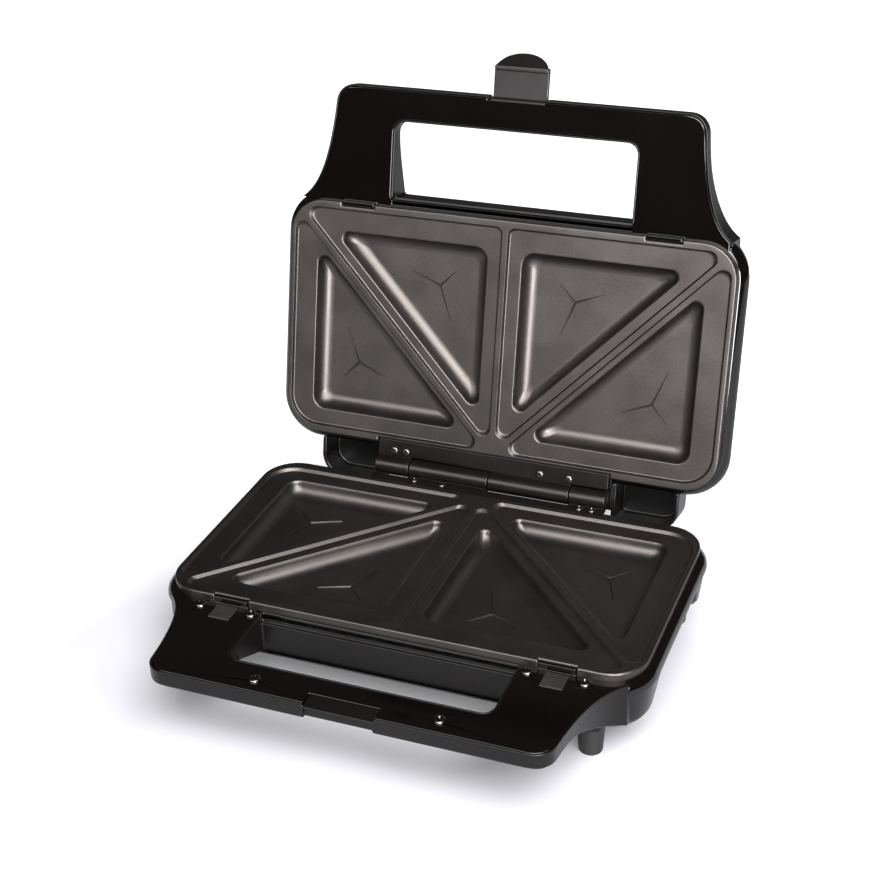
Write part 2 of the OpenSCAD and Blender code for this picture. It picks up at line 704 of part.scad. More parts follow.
module element_supports() {
    hx = plate_w / 2 - element_inset;
    hy = plate_d / 2 - element_inset;
    z0 = element_z + element_d / 2 + thread_fit;
    color("ivory") both_sides() {
        for (y = [-1, 1]) translate([support_x - support_l / 2, y * hy - support_w / 2, z0])
            cube([support_l, support_w, shield_depth - z0]);
        translate([hx - support_w / 2, -support_l / 2, z0])
            cube([support_w, support_l, shield_depth - z0]);
    }
}
module lower_element_supports() { in_base() element_supports(); }
module upper_element_supports() { in_lid() element_supports(); }

// ---- Screws ----
// Screw whose head seats at depth z and whose shank runs on to z + l
module screw(p, z, l, hr = head_r, hh = head_h) {
    color(steel) translate([p.x, p.y, z]) {
        translate([0, 0, -hh]) rotate_extrude() polygon([[0, 0], [hr * 0.55, 0], [hr * 0.86, hh * 0.3],
            [hr, hh * 0.7], [hr, hh], [0, hh]]);
        translate([0, 0, -eps]) cylinder(r = screw_d / 2, h = l);
    }
}
module plate_screws() {
    for (p = plate_boss_places) mirror([0, 0, 1])
        screw(p, -shield_depth - shield_t, shield_depth + shield_t - web_z - 2, plate_screw_r, plate_screw_h);
}
module lower_plate_screws() { in_base() plate_screws(); }
module upper_plate_screws() { in_lid() plate_screws(); }
module lower_trim_screws() {
    in_base() for (p = base_screw_places) screw(p, trim_z, trim_t + boss_screw_l);
}
module leaf_screw(p) {
    screw(p, trim_z - leaf_t, leaf_screw_l, leaf_head_r, leaf_head_h);
}
module lower_hinge_screws() {
    in_base() {
        for (x = long_screw_x) leaf_screw([-x, lower_leaf_screw_y]);
        for (x = short_screw_x) leaf_screw([x, lower_leaf_screw_y]);
    }
}
module upper_hinge_screws() {
    in_lid() {
        for (x = long_screw_x) leaf_screw([x + 3, upper_leaf_screw_y]);
        for (x = short_screw_x) leaf_screw([-x + 3.5, upper_leaf_screw_y]);
    }
}

// ---- Buffer pads, feet ----
module buffer_pads() {
    color([0.19, 0.17, 0.16]) in_base() both_sides()
        translate([pad_x - pad_side / 2, pad_y - pad_side / 2, trim_z - 0.3])
            cube([pad_side, pad_side, pad_h + 0.3]);
}
module feet(x, y) {
    color([0.13, 0.13, 0.13]) in_base() both_sides()
        translate([x, y, foot_seat_z])
            cylinder(r1 = foot_top_r, r2 = foot_d / 2, h = rim_height - foot_seat_z);
}
module front_feet() { feet(foot_x, front_foot_y); }
module rear_feet() { feet(rear_foot_x, rear_foot_y); }

// ---- Electrical parts inside the base ----
module thermostat() {
    color("tan") in_base() {
        translate([0, 8, web_z]) cylinder(r = 8, h = 6);
        translate([-4, 8 - 10.5, web_z]) cube([8, 21, 1.2]);
    }
}
module thermal_fuse() {
    color("white") in_base() translate([0, -18, web_z + 2.05]) rotate([0, 90, 0])
        cylinder(r = 2, h = 14, center = true);
}
module terminal_block() {
    color("ivory") in_base() difference() {
        translate([-terminal_x - 13, terminal_y - 5, 20]) cube([26, 10, base_depth - wall - 20]);
        for (x = [-9, 0, 9]) translate([x - terminal_x, terminal_y, 19]) cylinder(r = 1.8, h = 6);
    }
}
module cord_inlet_bush() {
    color([0.1, 0.1, 0.1]) in_base() translate([inlet_x, 0, inlet_z]) rotate([-90, 0, 0]) {
        difference() {
            union() {
                translate([0, 0, plate_rear - 3]) cylinder(r = inlet_r, h = 9.6);
                translate([0, 0, plate_rear + 4.4]) cylinder(r = inlet_r + 1.6, h = 2.2);
                translate([0, 0, plate_rear - 3]) cylinder(r = inlet_r + 1.2, h = 2.2);
            }
            translate([0, 0, plate_rear - 10]) cylinder(r = inlet_bore_d / 2, h = 30);
        }
    }
}

// ---- Hinge ----
// Leaf drawn for the base: a long barrel on the left, a short knuckle on the right
module hinge_leaf(axis_z, front) {
    color([0.14, 0.12, 0.11]) difference() {
        union() {
            translate([-hinge_half_w, front, trim_z - leaf_t])
                cube([2 * hinge_half_w, shelf_y - front, leaf_t]);
            for (x = [[-long_barrel + barrel_gap, -barrel_gap / 2], [long_barrel, hinge_half_w]]) {
                translate([x[0], hinge_y, axis_z]) rotate([0, 90, 0]) cylinder(r = barrel_r, h = x[1] - x[0]);
                translate([x[0], shelf_y - 1, trim_z - leaf_t])
                    cube([x[1] - x[0], hinge_y - shelf_y - 1, leaf_t]);
            }
        }
        translate([0, hinge_y, axis_z]) rotate([0, 90, 0])
            cylinder(r = hinge_pin_d / 2 + pin_fit, h = 3 * hinge_half_w, center = true);
        children();
    }
}
module lower_hinge_leaf() {
    in_base() hinge_leaf(-hinge_up, plate_rear + seat) {
        for (x = long_screw_x) boss([-x, lower_leaf_screw_y], -9, 9, pilot_r);
        for (x = short_screw_x) boss([x, lower_leaf_screw_y], -9, 9, pilot_r);
    }
}
module upper_hinge_leaf() {
    in_lid() mirror([1, 0, 0]) hinge_leaf(hinge_up - closed_gap, plate_rear - hinge_cutback + seat) {
        for (x = long_screw_x) boss([-x - 3, upper_leaf_screw_y], -9, 9, pilot_r);
        for (x = short_screw_x) boss([x - 3.5, upper_leaf_screw_y], -9, 9, pilot_r);
    }
}
module hinge_pin() {
    color(steel) in_base() translate([0, hinge_y, -hinge_up]) rotate([0, 90, 0])
        cylinder(r = hinge_pin_d / 2, h = 2 * hinge_half_w, center = true);
}

// ---- Pilot lamps in the lid ----
module lens(x, tint) {
    color(tint) in_lid() translate([x, lamp_y, 0]) {
        slab(lid_depth - wall - 3, wall + 3) circle(r = lamp_r);
        slab(lid_depth, lens_flange) circle(r = lamp_r + lens_flange);
    }
}
module neon(x) {
    color("orange") in_lid() translate([x, lamp_y, shield_depth + shield_t + 0.3])
        cylinder(r = 2.2, h = lid_depth - wall - 3.3 - shield_depth - shield_t - 0.3);
}
module power_lens() { lens(-lamp_x, "red"); }
module ready_lens() { lens(lamp_x, "green"); }
module power_neon() { neon(-lamp_x); }
module ready_neon() { neon(lamp_x); }

// ---- Latch ----
module latch_pin() {
    color(steel) in_lid() translate([0, latch_y, latch_z]) rotate([0, 90, 0])
        cylinder(r = latch_pin_d / 2, h = 2 * (recess_half_w + lug_w - 1), center = true);
}
// The clip lies in line with the lid, ready to swing down over the base handle
module latch_clip() {
    r = clip_barrel_d / 2;
    color([0.22, 0.21, 0.2]) in_lid() translate([0, latch_y, latch_z]) difference() {
        union() {
            rotate([0, 90, 0]) cylinder(r = r, h = clip_w, center = true);
            translate([-clip_w / 2, -clip_hook_l - hook_t / 2, clip_inner])
                cube([clip_w, clip_hook_l + hook_t / 2, clip_t]);
            translate([-clip_w / 2 + 0.5, -clip_hook_l - hook_t / 2, clip_inner - hook_h])
                cube([clip_w - 1, hook_t, hook_h + eps]);
            translate([0, -clip_hook_l - hook_t / 2, clip_inner]) rotate([-tab_bend, 0, 0])
                linear_extrude(height = clip_t) difference() {
                    translate([0, tab_lap])
                        scale([1, (tab_l + tab_lap) / (clip_w / 2)]) circle(r = clip_w / 2);
                    translate([-clip_w, 0.6]) square([2 * clip_w, 2 * clip_w]);
                }
        }
        rotate([0, 90, 0]) cylinder(r = latch_pin_d / 2 + pin_fit, h = clip_w + 2, center = true);
    }
}

lower_casing();
lower_trim_frame();
lower_plate();
lower_heat_shield();
lower_heating_element();
lower_element_supports();
lower_plate_screws();
lower_trim_screws();
buffer_pads();
thermostat();
thermal_fuse();
terminal_block();
cord_inlet_bush();
lower_hinge_leaf();
lower_hinge_screws();
hinge_pin();
front_feet();
rear_feet();
upper_casing();
upper_trim_frame();
upper_plate();
upper_heat_shield();
upper_heating_element();
upper_element_supports();
upper_plate_screws();
upper_hinge_leaf();
upper_hinge_screws();
power_lens();
ready_lens();
power_neon();
ready_neon();
latch_pin();
latch_clip();
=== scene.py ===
import json
import math

import bmesh
import bpy
from mathutils import Matrix, Vector

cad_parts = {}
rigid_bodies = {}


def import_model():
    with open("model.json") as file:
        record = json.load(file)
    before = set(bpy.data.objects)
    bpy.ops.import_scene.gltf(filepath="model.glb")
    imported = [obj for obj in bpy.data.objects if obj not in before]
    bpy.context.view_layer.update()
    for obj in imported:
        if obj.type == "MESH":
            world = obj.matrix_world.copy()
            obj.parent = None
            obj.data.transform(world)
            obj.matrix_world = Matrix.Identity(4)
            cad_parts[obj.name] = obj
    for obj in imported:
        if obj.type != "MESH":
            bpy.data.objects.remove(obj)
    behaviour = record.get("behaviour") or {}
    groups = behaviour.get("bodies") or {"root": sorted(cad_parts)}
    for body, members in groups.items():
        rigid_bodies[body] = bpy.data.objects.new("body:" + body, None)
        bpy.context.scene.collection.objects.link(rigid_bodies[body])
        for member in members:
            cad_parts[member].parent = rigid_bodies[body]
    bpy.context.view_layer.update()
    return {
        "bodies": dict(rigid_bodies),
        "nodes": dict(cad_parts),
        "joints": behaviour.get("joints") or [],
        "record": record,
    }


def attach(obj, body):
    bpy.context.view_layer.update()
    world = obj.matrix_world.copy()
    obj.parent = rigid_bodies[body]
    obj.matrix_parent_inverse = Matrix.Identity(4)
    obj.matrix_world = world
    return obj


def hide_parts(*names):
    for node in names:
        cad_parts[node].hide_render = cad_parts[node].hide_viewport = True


bl_info = {
    "name": "Sandwich Toaster",
    "version": (1, 0, 0),
    "blender": (4, 5, 0),
    "location": "View3D > Sidebar > Toaster",
    "description": "Builds the looks of an open sandwich toaster over its CAD frame",
    "category": "Object",
}

MM = 0.001
RIM_HEIGHT = 49.5
MIDDLE_Y = 10.84
PLATE_W, PLATE_D, PLATE_R = 250.0, 132.5, 19.0
FRONT, REAR = -PLATE_D / 2, PLATE_D / 2
SIDE_RIM, END_RIM, RIDGE_W = 2.7, 3.9, 3.0
LAND_DROP, POCKET_DEPTH, SKIRT_H = 1.8, 10.0, 4.0
HINGE_Y, HINGE_UP, CLOSED_GAP, OPEN_ANGLE = REAR + 12.9, 1.5, 0.4, 103.5
HINGE_HALF_W, HINGE_CUTBACK, WING = 67.0, 2.3, 2.7
# Section of the step from the rim to a land, as (set-in, depth)
LAND_STEP = (
    (-0.14, 0.0), (-0.03, 0.03), (0.04, 0.12), (0.7, 1.42), (0.82, 1.6), (1.0, 1.73), (1.25, 1.79), (1.45, 1.8),
)
# Margins of the pockets on the handle's and the hinge's side: along x, along y, to the ridge
POCKET_MARGINS = ((8.5, 12.5, 7.6), (13.5, 10.0, 5.3))
POCKET_RADII = (7.0, 4.0, 4.0)
# Radius of the lands' right-angled corner on either side, and of their acute corners
LAND_HANDLE_R, LAND_HINGE_R, LAND_ACUTE_R = 4.0, 16.5, 4.5
RIM_EDGE_R, POCKET_EDGE_R, WALL_T = 1.0, 0.8, 2.0
# Sweep of a pocket's wall into its floor: radius, set-in at the mouth, steps
SWEEP_R, SWEEP_START, SWEEP_STEPS = 7.0, 0.3, 12
EDGE_STEPS = 4
# Start, end and depth of the notches that take the tabs of the trim
NOTCH = (76.0, 95.0, 2.0)

# A point of a half is drawn as (x, y, depth behind its sealing rim), in millimetres.
IN_BASE = Matrix.Translation((0, -MIDDLE_Y, RIM_HEIGHT)) @ Matrix.Diagonal((1, 1, -1, 1))
IN_LID = (
    Matrix.Translation((0, HINGE_Y - MIDDLE_Y, RIM_HEIGHT + HINGE_UP))
    @ Matrix.Rotation(math.radians(-OPEN_ANGLE), 4, "X")
    @ Matrix.Translation((0, -HINGE_Y, CLOSED_GAP - HINGE_UP))
)

# Stars on the pocket floors: ends of the three blades, and centre and turn of the two stars of a half
STAR_BLADES = ((-9.5, -9.7), (16.2, -6.5), (-7.4, 19.2))
STAR_PLACES = ((38.6, FRONT + 41.3, 1), (84.8, FRONT + 91, -1))
STAR_HALF_W, STAR_SUNK, STAR_EDGE, STAR_CREST = 0.62, 0.3, 0.25, 0.85

# Rounded edges of the copies of CAD nodes
BEVEL_SEGMENTS, BEVEL_ANGLE, BEVEL_SHARE = 3, 32, 0.42
LEAF_EDGE, LEAF_SHORTEST, CLIP_EDGE, PAD_EDGE, FOOT_EDGE = 0.5, 0.7, 0.4, 0.4, 0.6

# Screws: heads as (radius, height), places and the facets round a head
TRIM_HEAD, LEAF_HEAD, HEAD_FACETS = (3.15, 1.5), (2.3, 1.2), 32
TRIM_SCREWS = ((100.5, FRONT - 4.6), (72.3, FRONT - 4.6), (46.6, FRONT - 51.6))
LONG_SCREWS, SHORT_SCREWS = (25.4, 41.8), (53.9, 60.9)
LEAF_FACE, BARREL_R = SKIRT_H - 3.0, 5.4
LID_TILT = math.pi - math.radians(OPEN_ANGLE)

# Camera: focal length, axes in the row frame, and place before the part is centred and set on its feet
SENSOR_MM, FOCAL_MM = 36, 69.67
CAM_RIGHT = Vector((0.9305025, 0.36471561, -0.03387653))
CAM_UP = Vector((-0.1494983, 0.4625865, 0.8738787))
CAM_BACK = Vector((0.33438803, -0.80808183, 0.48496226))
CAM_PLACE = (279.217, -672.075, 476.308)

# Paper: radius in metres, share of its glow that gloss sees, and where the glow starts and is full
PAPER_R, GLOSS_SHARE = 1.15, 0.1
GLOW_CENTRE, GLOW_FROM, GLOW_TO, GLOW_LOW = (0, -0.12, 0), 0.19, 0.33, 0.15
WORLD_AMBIENT, WORLD_DIFFUSE = 0.05, 0.07

# Soft boxes: name, place, point aimed at, size, watts, whether the paper is lit too
LIGHTS = (
    ("front_box", (-0.4, -1.7, 1.32), (0, 0, 0.15), (2.2, 1.1), 44, False),
    ("key_box", (0.2, -1.7, 0.95), (0, 0, 0.15), (1.0, 0.7), 15, False),
    ("side_box", (0.77, -1.1, 1.02), (0, 0, 0.12), (0.5, 0.5), 9, False),
    ("low_box", (1.0, -1.5, 0.32), (0, 0, 0.15), (0.7, 0.55), 55, False),
    ("top_box", (0.55, -0.75, 1.15), (0, 0, 0.05), (1.2, 0.9), 32, True),
)

STATE = {}


# ---- Small helpers ----


def rgb(hex_colour):
    """Linear colour of an sRGB hex string."""
    out = []
    for i in (1, 3, 5):
        c = int(hex_colour[i : i + 2], 16) / 255
        out.append(c / 12.92 if c <= 0.04045 else ((c + 0.055) / 1.055) ** 2.4)
    return (*out, 1.0)


def place(mesh_or_bm, matrix):
    """Millimetres of a half to metres of the row frame."""
    mesh_or_bm.transform(Matrix.Scale(MM, 4) @ matrix)


def link(obj):
    """Puts an object into the scene."""
    bpy.context.scene.collection.objects.link(obj)
    return obj


def new_object(name, bm, material, body, toward=None):
    """Object from a bmesh that is already in the row frame. With toward, the biggest face looks that way."""
    bmesh.ops.recalc_face_normals(bm, faces=bm.faces)
    if toward is not None:
        big = max(bm.faces, key=lambda f: f.calc_area())
        if big.normal.dot(Vector(toward)) < 0:
            bmesh.ops.reverse_faces(bm, faces=bm.faces)
    mesh = bpy.data.meshes.new(name)
    bm.to_mesh(mesh)
    bm.free()
    obj = link(bpy.data.objects.new(name, mesh))
    finish_piece(obj, material, body)
    return obj


def finish_piece(obj, material, body):
    """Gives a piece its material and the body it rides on."""
    obj.data.materials.clear()
    obj.data.materials.append(STATE["materials"][material])
    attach(obj, body)


def shade(obj, angle):
    """Smooth shading that keeps edges sharper than the angle."""
    obj.data.shade_smooth()
    obj.data.set_sharp_from_angle(angle=math.radians(angle))


def apply_modifiers(obj):
    """Writes the modified mesh into the object and takes the modifiers off."""
    depsgraph = bpy.context.evaluated_depsgraph_get()
    mesh = bpy.data.meshes.new_from_object(obj.evaluated_get(depsgraph))
    obj.modifiers.clear()
    obj.data = mesh


def clear_width(edge, face):
    """Distance from the middle of an edge straight across a flat face to its far side."""
    loop = next(l for l in edge.link_loops if l.face == face)
    a, b = loop.vert.co, loop.link_loop_next.vert.co
    mid, along = (a + b) / 2, (b - a).normalized()
    across = face.normal.cross(along)
    room = 1.0
    for other in face.edges:
        if other == edge:
            continue
        p, q = other.verts[0].co - mid, other.verts[1].co - mid
        pd, qd = p.dot(along), q.dot(along)
        if pd * qd > 0 or pd == qd:
            continue
        t = p.dot(across) + (q.dot(across) - p.dot(across)) * pd / (pd - qd)
        if t > 1e-7:
            room = min(room, t)
    return room


def inside(boxes, point):
    """Whether a point lies within 2 mm of one of the boxes."""
    return any(
        all(lo - 2 * MM < c < hi + 2 * MM for lo, c, hi in zip(low, point, high))
        for low, high in boxes
    )


def weigh_edges(bm, width, shortest, boxes):
    """Full bevel weight on every sharp edge, less where a face beside it is too narrow for the radius.
    Edges under the shortest length, the facets of screw holes under their heads, stay sharp. So do those
    in the boxes, which are the holes that the lenses fill."""
    weight = bm.edges.layers.float.new("bevel_weight_edge")
    for edge in bm.edges:
        if len(edge.link_faces) != 2 or edge.calc_length() < max(shortest * MM, 1e-7):
            continue
        if edge.link_faces[0].normal.angle(edge.link_faces[1].normal, 0.0) < math.radians(BEVEL_ANGLE):
            continue
        if inside(boxes, (edge.verts[0].co + edge.verts[1].co) / 2):
            continue
        room = min(clear_width(edge, f) for f in edge.link_faces)
        edge[weight] = min(1.0, BEVEL_SHARE * room / (width * MM))


def soft_copy(node, name, material, body, width, shortest=0.0, filled=()):
    """Merged copy of a CAD node with rounded edges, which stands for the node."""
    mesh = STATE["frame"]["nodes"][node].data.copy()
    bm = bmesh.new()
    bm.from_mesh(mesh)
    bmesh.ops.remove_doubles(bm, verts=bm.verts, dist=0.004 * MM)
    bmesh.ops.dissolve_limit(bm, angle_limit=math.radians(0.6), verts=bm.verts, edges=bm.edges)
    bmesh.ops.recalc_face_normals(bm, faces=bm.faces)
    boxes = []
    for other in filled:
        points = [v.co for v in STATE["frame"]["nodes"][other].data.vertices]
        boxes.append([[pick(p[i] for p in points) for i in range(3)] for pick in (min, max)])
    weigh_edges(bm, width, shortest, boxes)
    bmesh.ops.triangulate(bm, faces=[f for f in bm.faces if len(f.verts) > 4])
    bm.to_mesh(mesh)
    bm.free()
    mesh.name = name
    obj = link(bpy.data.objects.new(name, mesh))
    m = obj.modifiers.new("edge radius", "BEVEL")
    m.width = width * MM
    m.segments = BEVEL_SEGMENTS
    m.limit_method = "WEIGHT"
    m.use_clamp_overlap = False
    apply_modifiers(obj)
    even_shading(obj)
    finish_piece(obj, material, body)
    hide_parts(node)


def even_shading(obj, angle=35):
    """Normals that leave the flat faces flat and turn only over the rounded edges."""
    shade(obj, angle)
    m = obj.modifiers.new("even shading", "WEIGHTED_NORMAL")
    m.keep_sharp = True
    m.weight = 100
    apply_modifiers(obj)


# ---- Outlines ----


def corner_arc(a, b, c, r, n):
    """Points of the arc of radius r that rounds the corner b between a and c."""
    a, b, c = Vector(a), Vector(b), Vector(c)
    u, w = (a - b).normalized(), (c - b).normalized()
    half = u.angle(w) / 2
    centre = b + (u + w).normalized() * (r / math.sin(half))
    p, q = b + u * (r / math.tan(half)) - centre, b + w * (r / math.tan(half)) - centre
    start = math.atan2(p.y, p.x)
    sweep = math.atan2(q.y, q.x) - start
    sweep -= 2 * math.pi * round(sweep / (2 * math.pi))
    angles = [start + sweep * i / n for i in range(n + 1)]
    return [centre + r * Vector((math.cos(t), math.sin(t))) for t in angles]


def rounded(points, radii, n=8):
    """Closed outline with a radius at each corner."""
    k = len(points)
    out = []
    for i in range(k):
        out += corner_arc(points[i - 1], points[i], points[(i + 1) % k], max(radii[i], 0.05), n)
    return out


def plate_outline(inset, wing, cutback):
    """Outline of a plate: two notches in its front edge, a cut-back for the hinge between its rear wings."""
    front, rear, side = FRONT + inset, REAR + wing - inset, PLATE_W / 2 - inset
    x0, x1, deep = NOTCH[0] - inset, NOTCH[1] + inset, FRONT + NOTCH[2] + inset
    half = [(x0, front), (x0, deep), (x1, deep), (x1, front), (side, front), (side, rear)]
    radii = [0.6, 0.4, 0.4, 0.6, PLATE_R - inset, PLATE_R - inset]
    x = HINGE_HALF_W + 0.4 + inset
    half += [(x, rear), (x, rear - cutback)]
    radii += [0.6, 0.3]
    left = [(-x, y) for x, y in reversed(half)]
    return rounded(half + left, radii + radii[::-1])


def inset_triangle(c, lx, ly, mx, my, mh):
    """Right-angled triangle at c with legs lx and ly, set in by mx, my and, from the hypotenuse, mh."""
    k = 1 - mh * math.sqrt(1 / (lx * lx) + 1 / (ly * ly))
    sx, sy = math.copysign(1, lx), math.copysign(1, ly)
    return [
        (c[0] + sx * mx, c[1] + sy * my),
        (c[0] + lx * (k - my / abs(ly)), c[1] + sy * my),
        (c[0] + sx * mx, c[1] + ly * (k - mx / abs(lx))),
    ]


def triangle(side, mx, my, mh):
    """Triangle of the handle's side (0) or the hinge's side (1), set in by its margins."""
    x0, x1 = RIDGE_W / 2, PLATE_W / 2 - SIDE_RIM
    y0, y1 = FRONT + END_RIM, REAR - END_RIM
    if side == 0:
        return inset_triangle((x0, y0), x1 - x0, y1 - y0, mx, my, mh)
    return inset_triangle((x1, y1), x0 - x1, y0 - y1, mx, my, mh)


def land(side, m):
    """Edge of a land, set in by m. The acute corners keep their radius, so the step widens there."""
    first = LAND_HANDLE_R - 0.3 * m if side == 0 else LAND_HINGE_R - m
    acute = LAND_ACUTE_R - 0.1 * m
    return rounded(triangle(side, m, m, RIDGE_W / 2 + m), [first, acute, acute])


def pocket(side, m):
    """Mouth of a pocket, set in by m. Its corners get tighter as it goes in."""
    radii = [max(r - 0.4 * m, 0.8) for r in POCKET_RADII]
    return rounded(triangle(side, *(k + m for k in POCKET_MARGINS[side])), radii)


def ring(bm, outline, depth, flip=False):
    """Vertices of an outline at a depth. With flip, it is mirrored to the other half."""
    pts = [(-p[0], p[1]) for p in reversed(outline)] if flip else outline
    return [bm.verts.new((p[0], p[1], depth)) for p in pts]


def edges_of(bm, loop):
    """Edges round a closed loop of vertices, made where they are missing."""
    out = []
    for a, b in zip(loop, loop[1:] + loop[:1]):
        e = bm.edges.get((a, b))
        out.append(e if e is not None else bm.edges.new((a, b)))
    return out


def bridge(bm, loops):
    """Skin over loops that have as many vertices each."""
    for low, high in zip(loops, loops[1:]):
        n = len(low)
        for i in range(n):
            j = (i + 1) % n
            bm.faces.new((low[i], low[j], high[j], high[i]))


def fill(bm, *loops):
    """Flat area between an outer loop and the loops inside it."""
    edges = [e for loop in loops for e in edges_of(bm, loop)]
    bmesh.ops.triangle_fill(bm, edges=edges, use_beauty=True)


def quarter(n):
    """Fractions (along, down) of a quarter round."""
    return [(math.sin(math.pi / 2 * i / n), 1 - math.cos(math.pi / 2 * i / n)) for i in range(n + 1)]


# ---- Materials ----


def nd(tree, kind, settings=None, links=None):
    """Adds a shader node, sets its sockets and fields, links its inputs."""
    node = tree.nodes.new(kind)
    for key, value in (settings or {}).items():
        if isinstance(key, str) and hasattr(node, key) and key not in node.inputs:
            setattr(node, key, value)
        else:
            node.inputs[key].default_value = value
    for key, source in (links or {}).items():
        tree.links.new(source, node.inputs[key])
    return node


def grain(tree, size_mm, detail, rough=0.5):
    """Noise whose features are about size_mm across, on the object's own coordinates."""
    coord = nd(tree, "ShaderNodeTexCoord")
    return nd(
        tree,
        "ShaderNodeTexNoise",
        {"Scale": 1 / (size_mm * MM * 2), "Detail": detail, "Roughness": rough},
        {"Vector": coord.outputs["Object"]},
    )


def combine(tree, operation, a, b):
    """A field combined with a number or with another field."""
    plain = {} if isinstance(b, bpy.types.NodeSocket) else {1: b}
    linked = {0: a} if plain else {0: a, 1: b}
    return nd(tree, "ShaderNodeMath", {"operation": operation, **plain}, linked).outputs["Value"]


def remap(tree, source, low, high, to_low, to_high):
    """Stretches a field from one range to another."""
    return nd(
        tree,
        "ShaderNodeMapRange",
        {"From Min": low, "From Max": high, "To Min": to_low, "To Max": to_high},
        {"Value": source},
    )


def mix_colour(tree, factor, a, b):
    """Colour between two hex tones by a field."""
    m = nd(tree, "ShaderNodeMix", {"data_type": "RGBA"})
    m.inputs[6].default_value = rgb(a)
    m.inputs[7].default_value = rgb(b)
    tree.links.new(factor, m.inputs[0])
    return m.outputs[2]


def new_material(name):
    """Material with its node tree and its shader."""
    mat = bpy.data.materials.new(name)
    mat.use_nodes = True
    return mat, mat.node_tree, mat.node_tree.nodes["Principled BSDF"]


def tone(tree, shader, field, dark, light):
    """Base colour that wanders between two close tones."""
    tree.links.new(mix_colour(tree, field, dark, light), shader.inputs["Base Color"])


def drift(tree, shader, field, rough):
    """Roughness that wanders over the surface, within a range."""
    spread = remap(tree, field, 0.3, 0.7, rough[0], rough[1])
    tree.links.new(spread.outputs["Result"], shader.inputs["Roughness"])


def relief(tree, shader, field, height_mm):
    """Grain in relief."""
    bump = nd(tree, "ShaderNodeBump", {"Strength": 1.0, "Distance": height_mm * MM}, {"Height": field})
    tree.links.new(bump.outputs["Normal"], shader.inputs["Normal"])


def moulded(name, dark, light, blotch_mm, rough, texture_mm, bump_mm, specular=0.5):
    """Injection-moulded plastic: two close tones, a grain in relief and a roughness that drifts."""
    mat, tree, shader = new_material(name)
    broad = grain(tree, blotch_mm, 2.0).outputs["Fac"]
    tone(tree, shader, broad, dark, light)
    drift(tree, shader, broad, rough)
    relief(tree, shader, grain(tree, texture_mm, 4.0).outputs["Fac"], bump_mm)
    shader.inputs["Specular IOR Level"].default_value = specular
    return mat


def metal(name, dark, light, rough, grain_mm, bump_mm):
    """Plated or drawn metal, with the faint grain that its forming leaves."""
    mat, tree, shader = new_material(name)
    fine = grain(tree, grain_mm, 3.0).outputs["Fac"]
    tone(tree, shader, fine, dark, light)
    drift(tree, shader, fine, rough)
    relief(tree, shader, fine, bump_mm)
    shader.inputs["Metallic"].default_value = 1.0
    return mat


def coated_plate(name, dark, light):
    """Cast aluminium under a sprayed non-stick coat: a dark metallic satin with a sandy grain."""
    mat, tree, shader = new_material(name)
    broad = grain(tree, 11.0, 2.0).outputs["Fac"]
    sand = grain(tree, 0.32, 2.0, 0.7).outputs["Fac"]
    speckle = remap(tree, sand, 0.25, 0.75, 0.0, 0.65).outputs["Result"]
    level = nd(tree, "ShaderNodeMath", {"operation": "MULTIPLY_ADD", 1: 0.35}, {0: broad, 2: speckle})
    tone(tree, shader, level.outputs["Value"], dark, light)
    relief(tree, shader, sand, 0.014)
    drift(tree, shader, broad, (0.37, 0.43))
    shader.inputs["Metallic"].default_value = 0.94
    return mat


